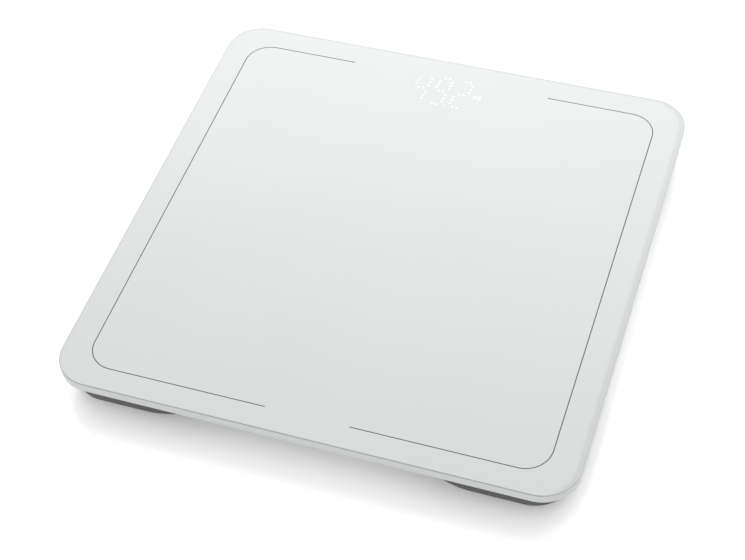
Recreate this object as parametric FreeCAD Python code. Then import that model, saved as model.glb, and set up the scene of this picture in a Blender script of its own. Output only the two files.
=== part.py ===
"""Digital bathroom scale: a square glass platform glued to a lobed plastic tray.

Millimetres, +Z up, the origin on the floor under the middle of the platform. The display
is on the +Y side and the user stands facing it from -Y. Four load cells, one in each corner
of the tray, stand on sprung feet. The readout is a field of small lamps behind the glass.
"""
import FreeCAD, Part
import math
import os

Vector = FreeCAD.Vector
UP = Vector(0, 0, 1)

# Platform
GLASS_SIDE = 300.0
GLASS_THICKNESS = 6.0
GLASS_CORNER_R = 22.0
GLASS_ARRIS = 0.6
OVERALL_HEIGHT = 25.0
PRINT_THICKNESS = 0.15
PRINT_INSET = 0.8
TAPE_THICKNESS = 0.65

# Tray
TRAY_BOTTOM = 5.0
TRAY_REACH = 145.0
TRAY_CORNER_R = 22.0
TRAY_WALL = 2.2
TRAY_FLOOR = 2.0
TRAY_EDGE_R = 1.5
SHOULDER_START = 94.5
SHOULDER_R = 52.0
SHOULDER_ANGLE = math.radians(30)
WAIST_REACH = 118.5
WAIST_CORNER_R = 20.0
PANEL_SIZE = (150.0, 40.0)
PANEL_CORNER_R = 6.0
PANEL_Y = -35.0
PANEL_RECESS = 0.5
RIB_THICKNESS = 1.6
RIB_HEIGHT = 3.5
CROSS_RIB_ROWS = (-30.0, -75.0)
CROSS_RIB_LENGTH = 190.0
LONG_RIB_X = 20.0
LONG_RIB_Y = -42.0
LONG_RIB_LENGTH = 120.0

# Load cells, their seats and the feet
FOOT_OFFSET = 110.0
FOOT_TRAVEL = 0.6
CELL_SIDE = 34.0
CELL_THICKNESS = 1.6
CELL_BOTTOM = 9.4
CELL_TONGUE = (20.0, 12.0)
CELL_SLOT = 2.0
CELL_CORNER_R = 3.0
CELL_TONGUE_SHIFT = 1.0
CELL_HOLE_R = 1.5
CELL_HOLE_OFFSET = 12.5
GAUGE_SIZE = (7.0, 8.0, 1.3)
SEAT_SIDE = 42.0
SEAT_CORNER_R = 4.0
SEAT_GAP = 0.25
SEAT_LIP = 0.2
SEAT_TAPE_INSET = 0.5
SEAT_LEAD_SLOT = 6.0
SEAT_RELIEF = 3.0
SEAT_RELIEF_LENGTH = 28.0
SEAT_WEB = 1.2
SEAT_WALL = 2.0
CUP_R = 23.0
CUP_WALL = 2.0
CUP_FLANGE_R = 25.0
CUP_FLANGE_T = 1.0
CUP_BOTTOM = 1.2
CUP_FLOOR_T = 1.8
CUP_POST_R = 3.5
CUP_RIB_HEIGHT = 3.0
CUP_HOLE_R = 23.5
COLLAR_R = 25.6
COLLAR_WALL = 1.5
COLLAR_HEIGHT = 2.0
FLANGE_CLEARANCE = 0.2
PAD_R = 20.5
PAD_THICKNESS = 1.8
PAD_GROOVES = (8.0, 14.0)
PAD_GROOVE = (1.2, 0.5)

# Readout
READOUT_Y = 124.0
DOT_PITCH = 2.96
DIGIT_HALF_WIDTH = 4.02
DASH_HALF_WIDTH = 1.45
DIGIT_SLANT = 0.09
DIGIT_PITCH = 13.38
DIGIT_MIDDLE_X = -2.95
UNIT_SIGN_X = 20.6
UNIT_SIGN_Y = READOUT_Y - 0.6
UNIT_SIGN_SIZE = (6.4, 5.0)
MASK_BOX = (-37.0, 109.0, 27.0, 139.0)
MASK_CORNER_R = 2.0
MASK_HOLE_R = 0.75
DIFFUSER_THICKNESS = 0.25
LAMP_SIZE = (1.0, 0.6, 0.5)

# Main board
BOARD_BOX = (-45.0, 100.0, 35.0, 140.0)
BOARD_CORNER_R = 2.0
BOARD_THICKNESS = 1.6
BOARD_TOP = 15.4
BOARD_HOLE_INSET = 3.5
BOSS_R = 3.5
CHIP_AT = (-14.0, 124.0)
CHIP_SIDE = 12.0
CHIP_THICKNESS = 1.5
CHIP_CORNER_R = 0.8
CAPACITOR_COUNT = 7
CAPACITOR_FIRST_X = -36.0
CAPACITOR_PITCH = 5.5
CAPACITOR_ROW = 135.0
CAPACITOR_SIZE = (2.0, 1.25, 0.6)
RESISTOR_ROW = 115.5
RESISTOR_SIZE = (1.6, 0.8, 0.8)
BUFFER_AT = (6.0, 126.0)
BUFFER_R = 2.5
BUFFER_HEIGHT = 5.0

# Unit button and its switch
BUTTON_AT = (22.0, 122.0)
BUTTON_R = 5.0
BUTTON_GAP = 0.3
BUTTON_FLANGE_R = 6.5
BUTTON_FLANGE_T = 0.8
BUTTON_RECESS = 0.3
BUTTON_EDGE_R = 0.5
BUTTON_STEM_R = 2.0
BUTTON_TRAVEL = 0.5
GUIDE_WALL = 1.2
GUIDE_HEIGHT = 2.2
SWITCH_SIDE = 6.0
SWITCH_HEIGHT = 3.5
SWITCH_WELL = 2.0
SWITCH_END_GAP = 0.3
PLUNGER_R = 1.7
PLUNGER_GAP = 0.1
PLUNGER_REACH = 1.0

# Battery bay: three AAA cells side by side along X
BAY_CENTRE_Y = 52.0
BAY_LENGTH = 52.0
BAY_WIDTH = 34.0
BAY_WALL = 1.6
BAY_CORNER_R = 1.2
BAY_CEILING = 0.9
DOOR_THICKNESS = 1.4
DOOR_GAP = 0.4
DOOR_REST_GAP = 0.05
DOOR_STOP_X = 22.0
DOOR_STOP_SIZE = (4.0, 1.2, 1.6)
DOOR_NIB = (10.0, 0.3, 0.6)
DOOR_NIB_RISE = 0.5
TONGUE_HALF_WIDTH = 8.0
TONGUE_LENGTH = 8.0
TONGUE_SLOT = 1.0
GRIP_ROWS = 3
GRIP_FIRST = 2.6
GRIP_PITCH = 2.0
GRIP_SIZE = (11.0, 0.8, 0.4)
SCOOP_R = 14.0
SCOOP_DEPTH = 1.2
HINGE_R = 1.2
HINGE_PIN_R = 0.7
HINGE_HOLE_R = 0.76
HINGE_HOLE_DEPTH = 1.2
HINGE_PIN_REACH = 0.9
BATTERY_R = 5.25
BATTERY_LENGTH = 44.5
BATTERY_PITCH = 10.85
BATTERY_EDGE_R = 0.5
BATTERY_CLEARANCE = 0.15
TERMINAL_R = 1.9
TERMINAL_LENGTH = 0.8
PLATE_THICKNESS = 0.4
PLATE_WIDTH = 8.5
PLATE_HEIGHT = 8.0
TAB_LENGTH = 2.6
TAB_WIDTH = 2.0
TAB_Z = 12.0
TAB_SLOT_SIZE = (3.0, 1.2)
SPRING_WIRE_R = 0.3
SPRING_TURNS = 4
SPRING_STEPS = 10
SPRING_WIDE_R = 4.0
SPRING_NARROW_R = 2.4

# Wires and screws
WIRE_R = 0.55
WIRE_SPACING = 1.3
WIRE_BEND_R = 18.0
WIRE_LANE_X = 48.0
WIRE_LANE_WIDTH = 14.0
RISER_Y = 110.0
LEAD_RISERS = {"front_left": -32.0, "front_right": 23.0, "rear_left": -39.0, "rear_right": 29.0}
BATTERY_LEAD_RISERS = {-1: -20.0, 1: 12.0}
CLIP_ROWS = (-50.0, -5.0, 40.0)
CLIP_SIZE = (1.2, 5.0, 3.0)
CLIP_OFFSET = 3.0
REAR_CLIP_X = 58.0
SCREW_R = 1.1
SCREW_HEAD_R = 2.3
SCREW_HEAD_H = 1.5
SCREW_GRIP = 5.2
SCREW_HOLE_GAP = 0.05
SCREW_SLOT = (3.0, 0.6, 0.35)

# Levels that follow from the sizes above
GLASS_BOTTOM = OVERALL_HEIGHT - GLASS_THICKNESS
PRINT_BOTTOM = GLASS_BOTTOM - PRINT_THICKNESS
TAPE_BOTTOM = PRINT_BOTTOM - TAPE_THICKNESS
FLOOR_TOP = TRAY_BOTTOM + TRAY_FLOOR
CELL_TOP = CELL_BOTTOM + CELL_THICKNESS
BOARD_BOTTOM = BOARD_TOP - BOARD_THICKNESS
MASK_TOP = PRINT_BOTTOM - DIFFUSER_THICKNESS
WIRE_ON_FLOOR = FLOOR_TOP + WIRE_R + 0.05
FLANGE_BOTTOM = FLOOR_TOP + FLANGE_CLEARANCE
BAY_TOP = TAPE_BOTTOM - BAY_CEILING
BATTERY_Z = TRAY_BOTTOM + DOOR_THICKNESS + BATTERY_CLEARANCE + BATTERY_R
HINGE_Z = TRAY_BOTTOM + HINGE_R
HINGE_Y = BAY_CENTRE_Y + BAY_WIDTH / 2 - DOOR_GAP - HINGE_R

CORNERS = {
    "front_left": (-1, -1),
    "front_right": (1, -1),
    "rear_left": (-1, 1),
    "rear_right": (1, 1),
}


def box(x0, y0, z0, x1, y1, z1):
    return Part.makeBox(x1 - x0, y1 - y0, z1 - z0, Vector(x0, y0, z0))


def centred_box(x, y, z0, width, depth, height):
    return Part.makeBox(width, depth, height, Vector(x - width / 2, y - depth / 2, z0))


def cylinder(x, y, z0, z1, radius):
    return Part.makeCylinder(radius, z1 - z0, Vector(x, y, z0))


def ring(x, y, z0, z1, outer, inner):
    return cylinder(x, y, z0, z1, outer).cut(cylinder(x, y, z0, z1, inner))


def fused(shapes):
    return shapes[0].fuse(shapes[1:]).removeSplitter()


def extruded(edges, z0, z1):
    """A prism from z0 to z1 over the closed outline that the edges make at z0."""
    return Part.Face(Part.Wire(edges)).extrude(UP * (z1 - z0))


def rounded_slab(x, y, z0, z1, width, depth, radius):
    """A rectangular slab with its four upright edges rounded."""
    slab = centred_box(x, y, z0, width, depth, z1 - z0)
    upright = [e for e in slab.Edges if abs(e.tangentAt(e.FirstParameter).z) > 0.99]
    return slab.makeFillet(radius, upright)


def arc(start, middle, end):
    return Part.Arc(start, middle, end).toShape()


def line(start, end):
    return Part.LineSegment(start, end).toShape()


# ---------------------------------------------------------------- platform


def glass_platform():
    glass = rounded_slab(0, 0, GLASS_BOTTOM, OVERALL_HEIGHT, GLASS_SIDE, GLASS_SIDE, GLASS_CORNER_R)
    level = [e for e in glass.Edges if abs(e.tangentAt(e.FirstParameter).z) < 0.01]
    return glass.makeChamfer(GLASS_ARRIS, level)


def mask_slab(z0, z1):
    x0, y0, x1, y1 = MASK_BOX
    return rounded_slab((x0 + x1) / 2, (y0 + y1) / 2, z0, z1, x1 - x0, y1 - y0, MASK_CORNER_R)


def back_print():
    """The white coat under the glass, with a window over the readout."""
    side = GLASS_SIDE - 2 * PRINT_INSET
    coat = rounded_slab(0, 0, PRINT_BOTTOM, GLASS_BOTTOM, side, side, GLASS_CORNER_R - PRINT_INSET)
    return coat.cut(mask_slab(PRINT_BOTTOM, GLASS_BOTTOM))


def display_diffuser():
    """A white film that fills the window and backs it."""
    return mask_slab(MASK_TOP, GLASS_BOTTOM)


# ---------------------------------------------------------------- tray


def half_waist(inset, z):
    """From a lobe to the middle: the shoulder, a slanting run, and a corner into the straight waist.

    Returns (start, middle, end) of the shoulder's arc and of the corner's arc, for the +X half.
    """
    sine, cosine = math.sin(SHOULDER_ANGLE), math.cos(SHOULDER_ANGLE)
    shoulder_y = SHOULDER_R - TRAY_REACH
    corner_y = -(WAIST_REACH + WAIST_CORNER_R)
    across = (shoulder_y - corner_y) * cosine - SHOULDER_R - WAIST_CORNER_R
    corner_x = SHOULDER_START + across / sine
    shoulder, corner = [], []
    for angle in (0, SHOULDER_ANGLE / 2, SHOULDER_ANGLE):
        outward = Vector(-math.sin(angle), -math.cos(angle), 0)
        shoulder.append(Vector(SHOULDER_START, shoulder_y, z) + outward * (SHOULDER_R - inset))
        corner.insert(0, Vector(corner_x, corner_y, z) - outward * (WAIST_CORNER_R + inset))
    return shoulder, corner


def side_edges(turn, inset, z, waisted):
    """One side of the tray's outline with the corner that follows it, moved in by inset.

    It is drawn for the front side, running to +X, and turned about Z into place. A waisted
    side runs flat along each lobe and steps back between them to leave room for the fingers.
    """
    corner_centre = TRAY_REACH - TRAY_CORNER_R
    flat_end = Vector(corner_centre, inset - TRAY_REACH, z)
    edges = []
    if waisted:
        shoulder, corner = half_waist(inset, z)
        right = [line(flat_end, shoulder[0]), arc(*shoulder), line(shoulder[2], corner[0]), arc(*corner)]
        edges += right
        edges += [edge.mirror(Vector(0, 0, 0), Vector(1, 0, 0)) for edge in right]
        edges.append(line(corner[2], Vector(-corner[2].x, corner[2].y, z)))
    else:
        edges.append(line(Vector(-flat_end.x, flat_end.y, z), flat_end))
    r = TRAY_CORNER_R - inset
    diagonal = r * math.sqrt(0.5)
    middle = Vector(corner_centre + diagonal, -corner_centre - diagonal, z)
    edges.append(arc(flat_end, middle, Vector(corner_centre + r, -corner_centre, z)))
    for edge in edges:
        edge.rotate(Vector(0, 0, 0), UP, turn)
    return edges


def tray_outline(inset, z):
    """The rear side, turned by 180 degrees, is straight: the readout sits close behind it."""
    edges = []
    for turn in (0, 90, 180, 270):
        edges += side_edges(turn, inset, z, waisted=turn != 180)
    return Part.sortEdges(edges)[0]


def tray_prism(inset, z0, z1):
    return extruded(tray_outline(inset, z0), z0, z1)


def rim_tape():
    outer = tray_prism(0.2, TAPE_BOTTOM, PRINT_BOTTOM)
    return outer.cut(tray_prism(TRAY_WALL - 0.1, TAPE_BOTTOM, PRINT_BOTTOM))


def tray_body():
    """The tray's skin: floor, wall, and a rounded edge where they meet."""
    block = tray_prism(0, TRAY_BOTTOM, TAPE_BOTTOM)
    lowest = [e for e in block.Edges if e.BoundBox.ZMax < TRAY_BOTTOM + 0.01]
    block = block.makeFillet(TRAY_EDGE_R, lowest)
    return block.cut(tray_prism(TRAY_WALL, FLOOR_TOP, TAPE_BOTTOM))


def board_holes():
    x0, y0, x1, y1 = BOARD_BOX
    inset = BOARD_HOLE_INSET
    return [(x, y) for x in (x0 + inset, x1 - inset) for y in (y0 + inset, y1 - inset)]


def floor_ribs():
    """Two stiffening ribs across the tray, open where the wires cross them, and two along it."""
    ribs = []
    for y in CROSS_RIB_ROWS:
        rib = centred_box(0, y, FLOOR_TOP, CROSS_RIB_LENGTH, RIB_THICKNESS, RIB_HEIGHT)
        for side in (-1, 1):
            lane_x = side * WIRE_LANE_X
            rib = rib.cut(centred_box(lane_x, y, FLOOR_TOP, WIRE_LANE_WIDTH, 2 * RIB_THICKNESS, RIB_HEIGHT))
        ribs.append(rib)
    for x in (-LONG_RIB_X, LONG_RIB_X):
        ribs.append(centred_box(x, LONG_RIB_Y, FLOOR_TOP, RIB_THICKNESS, LONG_RIB_LENGTH, RIB_HEIGHT))
    return ribs


def wire_clips():
    """Pairs of posts that hold the ribbons of wire down on the floor of the tray."""
    thickness, length, height = CLIP_SIZE
    clips = []
    for side in (-1, 1):
        for offset in (-CLIP_OFFSET, CLIP_OFFSET):
            x = side * WIRE_LANE_X + offset
            for y in CLIP_ROWS:
                clips.append(centred_box(x, y, FLOOR_TOP, thickness, length, height))
            y = RISER_Y + offset
            clips.append(centred_box(side * REAR_CLIP_X, y, FLOOR_TOP, length, thickness, height))
    return clips


def bay_slot(side, y):
    """The hole in the bay's end wall that a contact's solder tab comes out of."""
    width, height = TAB_SLOT_SIZE
    bottom = TAB_Z + (PLATE_THICKNESS - height) / 2
    return centred_box(side * (BAY_LENGTH + BAY_WALL) / 2, y, bottom, 2 * BAY_WALL, width, height)


def add_battery_bay(tray):
    """The bay under its hump, the door's stops and hinge holes, and a scoop for a fingertip."""
    length = BAY_LENGTH + 2 * BAY_WALL
    width = BAY_WIDTH + 2 * BAY_WALL
    front_y = BAY_CENTRE_Y - BAY_WIDTH / 2
    tray = tray.fuse(rounded_slab(0, BAY_CENTRE_Y, FLOOR_TOP, TAPE_BOTTOM, length, width, BAY_CORNER_R))
    tray = tray.cut(centred_box(0, BAY_CENTRE_Y, TRAY_BOTTOM, BAY_LENGTH, BAY_WIDTH, BAY_TOP - TRAY_BOTTOM))
    stop_y = front_y + DOOR_STOP_SIZE[1] / 3
    stop_bottom = TRAY_BOTTOM + DOOR_THICKNESS + DOOR_REST_GAP
    for side in (-1, 1):
        tray = tray.fuse(centred_box(side * DOOR_STOP_X, stop_y, stop_bottom, *DOOR_STOP_SIZE))
        hole_x = side * BAY_LENGTH / 2
        tray = tray.cut(along_x(side, hole_x, HINGE_Y, HINGE_Z, HINGE_HOLE_R, HINGE_HOLE_DEPTH))
    for side, y in lead_tabs():
        tray = tray.cut(bay_slot(side, y))
    return tray.cut(Part.makeSphere(SCOOP_R, Vector(0, front_y, TRAY_BOTTOM + SCOOP_DEPTH - SCOOP_R)))


def foot_places():
    return [(sx * FOOT_OFFSET, sy * FOOT_OFFSET) for sx, sy in CORNERS.values()]


def base_shell():
    """The tray with its ribs, clips, collars, bosses and battery bay, in one moulding."""
    additions = floor_ribs() + wire_clips()
    for x, y in foot_places():
        collar_top = FLOOR_TOP + COLLAR_HEIGHT
        additions.append(ring(x, y, FLOOR_TOP, collar_top, COLLAR_R + COLLAR_WALL, COLLAR_R))
    for x, y in board_holes():
        additions.append(cylinder(x, y, FLOOR_TOP, BOARD_BOTTOM, BOSS_R))
    guide_r = BUTTON_FLANGE_R + BUTTON_GAP
    additions.append(ring(*BUTTON_AT, FLOOR_TOP, FLOOR_TOP + GUIDE_HEIGHT, guide_r + GUIDE_WALL, guide_r))
    tray = fused([tray_body()] + additions)
    panel_top = TRAY_BOTTOM + PANEL_RECESS
    tray = tray.cut(rounded_slab(0, PANEL_Y, TRAY_BOTTOM, panel_top, *PANEL_SIZE, PANEL_CORNER_R))
    for x, y in foot_places():
        tray = tray.cut(cylinder(x, y, TRAY_BOTTOM, FLOOR_TOP, CUP_HOLE_R))
    hole_bottom = BOARD_TOP - SCREW_GRIP - 1.0
    for x, y in board_holes():
        tray = tray.cut(cylinder(x, y, hole_bottom, BOARD_BOTTOM, SCREW_R + SCREW_HOLE_GAP))
    tray = tray.cut(cylinder(*BUTTON_AT, TRAY_BOTTOM, FLOOR_TOP, BUTTON_R + BUTTON_GAP))
    return add_battery_bay(tray)


# ---------------------------------------------------------------- corners


def in_corner(shape, sx, sy):
    """Moves a shape drawn about the origin, with +X outwards, to the corner (sx, sy)."""
    placed = shape.copy()
    if sx < 0:
        placed = placed.mirror(Vector(0, 0, 0), Vector(1, 0, 0))
    placed.translate(Vector(sx * FOOT_OFFSET, sy * FOOT_OFFSET, 0))
    return placed


def cell_holes():
    offset = CELL_HOLE_OFFSET
    return [(-offset, offset), (offset, -offset)]


def load_cell():
    """A steel plate with a tongue cut free on three sides, fixed at its inner end."""
    plate = rounded_slab(0, 0, CELL_BOTTOM, CELL_TOP, CELL_SIDE, CELL_SIDE, CELL_CORNER_R)
    length, width = CELL_TONGUE
    root = -length / 2 - CELL_TONGUE_SHIFT
    reach = width / 2 + CELL_SLOT
    tongue = box(root, -width / 2, CELL_BOTTOM, root + length, width / 2, CELL_TOP)
    plate = plate.cut(box(root, -reach, CELL_BOTTOM, root + length + CELL_SLOT, reach, CELL_TOP).cut(tongue))
    for x, y in cell_holes():
        plate = plate.cut(cylinder(x, y, CELL_BOTTOM, CELL_TOP, CELL_HOLE_R))
    return plate


def gauge_end_x():
    return -CELL_TONGUE[0] / 2


def strain_gauge():
    """The gauge on the root of the tongue, under its coat of white silicone."""
    length, width, height = GAUGE_SIZE
    middle = gauge_end_x() + length / 2
    return rounded_slab(middle, 0, CELL_TOP, CELL_TOP + height, length, width, 1.0)


def cell_seat():
    """The moulded block that ties a load cell to the underside of the glass."""
    seat_bottom = CELL_BOTTOM + SEAT_LIP
    seat = rounded_slab(0, 0, seat_bottom, TAPE_BOTTOM, SEAT_SIDE, SEAT_SIDE, SEAT_CORNER_R)
    pocket = CELL_SIDE + 2 * SEAT_GAP
    seat = seat.cut(centred_box(0, 0, CELL_BOTTOM, pocket, pocket, CELL_THICKNESS))
    relief_width = CELL_TONGUE[1] + 3 * CELL_SLOT
    seat = seat.cut(centred_box(0, 0, CELL_TOP, SEAT_RELIEF_LENGTH, relief_width, SEAT_RELIEF))
    web_top = CELL_TOP + SEAT_RELIEF + SEAT_WEB
    hollow_side = SEAT_SIDE - 2 * SEAT_WALL
    hollow = centred_box(0, 0, web_top, hollow_side, hollow_side, TAPE_BOTTOM - web_top)
    for width, depth in ((SEAT_SIDE, RIB_THICKNESS), (RIB_THICKNESS, SEAT_SIDE)):
        hollow = hollow.cut(centred_box(0, 0, web_top, width, depth, TAPE_BOTTOM - web_top))
    seat = seat.cut(hollow)
    seat = seat.cut(centred_box(-SEAT_SIDE / 2, 0, CELL_TOP, SEAT_SIDE / 2, SEAT_LEAD_SLOT, SEAT_RELIEF))
    for x, y in cell_holes():
        seat = seat.cut(cylinder(x, y, CELL_TOP, web_top, SCREW_R + SCREW_HOLE_GAP))
    return seat


def seat_tape():
    side = SEAT_SIDE - 2 * SEAT_TAPE_INSET
    corner_r = SEAT_CORNER_R - SEAT_TAPE_INSET
    return rounded_slab(0, 0, TAPE_BOTTOM, PRINT_BOTTOM, side, side, corner_r)


def foot_cup():
    """The foot: a cup that slides in the tray's hole and presses the tongue with its post."""
    wall_top = FLANGE_BOTTOM + CUP_FLANGE_T
    inner_r = CUP_R - CUP_WALL
    floor_top = PAD_THICKNESS + CUP_FLOOR_T
    return fused([
        ring(0, 0, CUP_BOTTOM, wall_top, CUP_R, inner_r),
        ring(0, 0, FLANGE_BOTTOM, wall_top, CUP_FLANGE_R, inner_r),
        cylinder(0, 0, PAD_THICKNESS, floor_top, CUP_R),
        cylinder(0, 0, PAD_THICKNESS, CELL_BOTTOM, CUP_POST_R),
        centred_box(0, 0, floor_top, 2 * inner_r, RIB_THICKNESS, CUP_RIB_HEIGHT),
        centred_box(0, 0, floor_top, RIB_THICKNESS, 2 * inner_r, CUP_RIB_HEIGHT),
    ])


def foot_pad():
    """The rubber pad under a foot, with round grooves that help it grip."""
    pad = cylinder(0, 0, 0, PAD_THICKNESS, PAD_R)
    width, depth = PAD_GROOVE
    for radius in PAD_GROOVES:
        pad = pad.cut(ring(0, 0, 0, depth, radius + width, radius))
    return pad


def screw(x, y, head_z, direction):
    """A self-tapping screw. Its head rests on head_z and its shank runs along direction."""
    axis = Vector(0, 0, direction)
    seat = Vector(x, y, head_z)
    head = Part.makeCylinder(SCREW_HEAD_R, SCREW_HEAD_H, seat - axis * SCREW_HEAD_H, axis)
    shank = Part.makeCylinder(SCREW_R, SCREW_GRIP, seat, axis)
    length, width, depth = SCREW_SLOT
    slot_bottom = head_z - direction * SCREW_HEAD_H - depth
    slot = centred_box(x, y, slot_bottom, length, width, 2 * depth)
    cross = centred_box(x, y, slot_bottom, width, length, 2 * depth)
    return head.fuse(shank).removeSplitter().cut(slot).cut(cross)


def cell_screws():
    found = []
    for sx, sy in CORNERS.values():
        for x, y in cell_holes():
            found.append(in_corner(screw(x, y, CELL_BOTTOM, 1), sx, sy))
    return Part.makeCompound(found)


# ---------------------------------------------------------------- wires


def beside(points, offset):
    """The route moved sideways in plan by offset, so that wires run parallel."""
    plan = [points[0]]
    for p in points[1:]:
        if math.hypot(p.x - plan[-1].x, p.y - plan[-1].y) > 1e-6:
            plan.append(p)
    moved = []
    for i, p in enumerate(plan):
        before = plan[max(i - 1, 0)]
        after = plan[min(i + 1, len(plan) - 1)]
        first = flat_direction(before, p) if i > 0 else flat_direction(p, after)
        second = flat_direction(p, after) if i < len(plan) - 1 else first
        normal = Vector(-(first.y + second.y), first.x + second.x, 0)
        normal.normalize()
        stretch = 1 / (normal.x * -first.y + normal.y * first.x)
        moved.append(normal * (offset * stretch))
    result, at = [], 0
    for i, p in enumerate(points):
        if i and math.hypot(p.x - points[i - 1].x, p.y - points[i - 1].y) > 1e-6:
            at += 1
        result.append(p + moved[at])
    return result


def flat_direction(start, end):
    direction = Vector(end.x - start.x, end.y - start.y, 0)
    direction.normalize()
    return direction


def bend_radius(before, at, after, turn):
    """The largest radius, up to the usual one, that both runs leave room for."""
    shorter = min((at - before).Length, (after - at).Length)
    return min(WIRE_BEND_R, 0.45 * shorter / math.tan(turn / 2))


def wire_path(points):
    """Straight runs through the points, joined by tangent arcs."""
    edges = []
    start = points[0]
    for i in range(1, len(points) - 1):
        before, at, after = points[i - 1], points[i], points[i + 1]
        turn = (at - before).getAngle(after - at)
        if turn < 1e-4:
            continue
        radius = bend_radius(before, at, after, turn)
        back = (before - at).normalize()
        on = (after - at).normalize()
        reach = radius * math.tan(turn / 2)
        entry, leave = at + back * reach, at + on * reach
        inward = (back + on).normalize()
        centre = at + inward * (radius / math.cos(turn / 2))
        edges.append(line(start, entry))
        edges.append(arc(entry, centre - inward * radius, leave))
        start = leave
    edges.append(line(start, points[-1]))
    return Part.Wire(edges)


def wire(points, radius=WIRE_R):
    """One wire of this radius along the route."""
    path = wire_path(points)
    heading = points[1] - points[0]
    section = Part.Wire(Part.makeCircle(radius, points[0], heading))
    return path.makePipeShell([section], True, False)


def cell_leads(sx, sy, riser_x):
    """The three wires from a load cell's gauge to the underside of the main board."""
    gauge_z = CELL_TOP + GAUGE_SIZE[2] / 2
    low = WIRE_ON_FLOOR
    y = sy * FOOT_OFFSET
    route = [
        (FOOT_OFFSET + gauge_end_x(), y, gauge_z),
        (79.0, y, gauge_z),
        (68.0, y, low),
    ]
    if sy < 0:
        route += [
            (58.0, y + 4.0, low),
            (WIRE_LANE_X, -88.0, low),
            (WIRE_LANE_X, 58.0, low),
            (43.0, 82.0, low),
            (abs(riser_x) + 1.0, 98.0, low),
        ]
    points = [Vector(sx * px, py, pz) for px, py, pz in route]
    points.append(Vector(riser_x, RISER_Y, low))
    points.append(Vector(riser_x, RISER_Y, BOARD_BOTTOM))
    offsets = (-WIRE_SPACING, 0, WIRE_SPACING)
    return Part.makeCompound([wire(beside(points, offset)) for offset in offsets])


# ---------------------------------------------------------------- readout and board


def digit_dots(centre_x, only_right=False):
    """The dots of a seven-segment figure: three in each upright, two in each dash."""
    dots = []
    for row in (-3, -2, -1, 1, 2, 3):
        for side in (-1, 1):
            if side > 0 or not only_right:
                dots.append((side * DIGIT_HALF_WIDTH, row * DOT_PITCH))
    if not only_right:
        for row in (-4, 0, 4):
            for side in (-1, 1):
                dots.append((side * DASH_HALF_WIDTH, row * DOT_PITCH))
    return [(centre_x + x + DIGIT_SLANT * y, READOUT_Y + y) for x, y in dots]


def readout_dots():
    """Three full figures, a leading 1, and the point before the last figure."""
    dots = digit_dots(DIGIT_MIDDLE_X - 2 * DIGIT_PITCH, only_right=True)
    for place in (-1, 0, 1):
        dots += digit_dots(DIGIT_MIDDLE_X + place * DIGIT_PITCH)
    point_y = -4 * DOT_PITCH
    point_x = DIGIT_MIDDLE_X + DIGIT_PITCH / 2 + DIGIT_SLANT * point_y
    return dots + [(point_x, READOUT_Y + point_y)]


def light_mask():
    """The black block that keeps each lamp's light to its own hole."""
    holes = [cylinder(x, y, BOARD_TOP, MASK_TOP, MASK_HOLE_R) for x, y in readout_dots()]
    width, depth = UNIT_SIGN_SIZE
    holes.append(centred_box(UNIT_SIGN_X, UNIT_SIGN_Y, BOARD_TOP, width, depth, MASK_TOP - BOARD_TOP))
    return mask_slab(BOARD_TOP, MASK_TOP).cut(Part.makeCompound(holes))


def display_lamps():
    width, depth, height = LAMP_SIZE
    places = readout_dots() + [(UNIT_SIGN_X, UNIT_SIGN_Y)]
    return Part.makeCompound([centred_box(x, y, BOARD_TOP, width, depth, height) for x, y in places])


def main_board():
    x0, y0, x1, y1 = BOARD_BOX
    middle = ((x0 + x1) / 2, (y0 + y1) / 2)
    board = rounded_slab(*middle, BOARD_BOTTOM, BOARD_TOP, x1 - x0, y1 - y0, BOARD_CORNER_R)
    for x, y in board_holes():
        board = board.cut(cylinder(x, y, BOARD_BOTTOM, BOARD_TOP, CELL_HOLE_R))
    return board


def controller_chip():
    bottom = BOARD_BOTTOM - CHIP_THICKNESS
    return rounded_slab(*CHIP_AT, bottom, BOARD_BOTTOM, CHIP_SIDE, CHIP_SIDE, CHIP_CORNER_R)


def under_board(x, y, width, depth, height):
    return centred_box(x, y, BOARD_BOTTOM - height, width, depth, height)


def board_parts():
    """Under the board: a row of capacitors, a row of resistors and one tall buffer capacitor."""
    parts = []
    for column in range(CAPACITOR_COUNT):
        x = CAPACITOR_FIRST_X + CAPACITOR_PITCH * column
        parts.append(under_board(x, CAPACITOR_ROW, *CAPACITOR_SIZE))
        parts.append(under_board(x, RESISTOR_ROW, *RESISTOR_SIZE))
    parts.append(cylinder(*BUFFER_AT, BOARD_BOTTOM - BUFFER_HEIGHT, BOARD_BOTTOM, BUFFER_R))
    return Part.makeCompound(parts)


def board_screws():
    return Part.makeCompound([screw(x, y, BOARD_TOP, -1) for x, y in board_holes()])


# ---------------------------------------------------------------- unit button


def plunger_bottom():
    return BOARD_BOTTOM - SWITCH_HEIGHT - PLUNGER_REACH


def unit_button():
    """The cap under the tray. Its flange rests just above the floor and keeps it in."""
    cap_bottom = TRAY_BOTTOM + BUTTON_RECESS
    cap = cylinder(*BUTTON_AT, cap_bottom, FLANGE_BOTTOM, BUTTON_R)
    lowest = [e for e in cap.Edges if e.BoundBox.ZMax < cap_bottom + BUTTON_EDGE_R]
    cap = cap.makeFillet(BUTTON_EDGE_R, lowest)
    flange = cylinder(*BUTTON_AT, FLANGE_BOTTOM, FLANGE_BOTTOM + BUTTON_FLANGE_T, BUTTON_FLANGE_R)
    stem = cylinder(*BUTTON_AT, FLANGE_BOTTOM, plunger_bottom(), BUTTON_STEM_R)
    return fused([cap, flange, stem])


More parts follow.
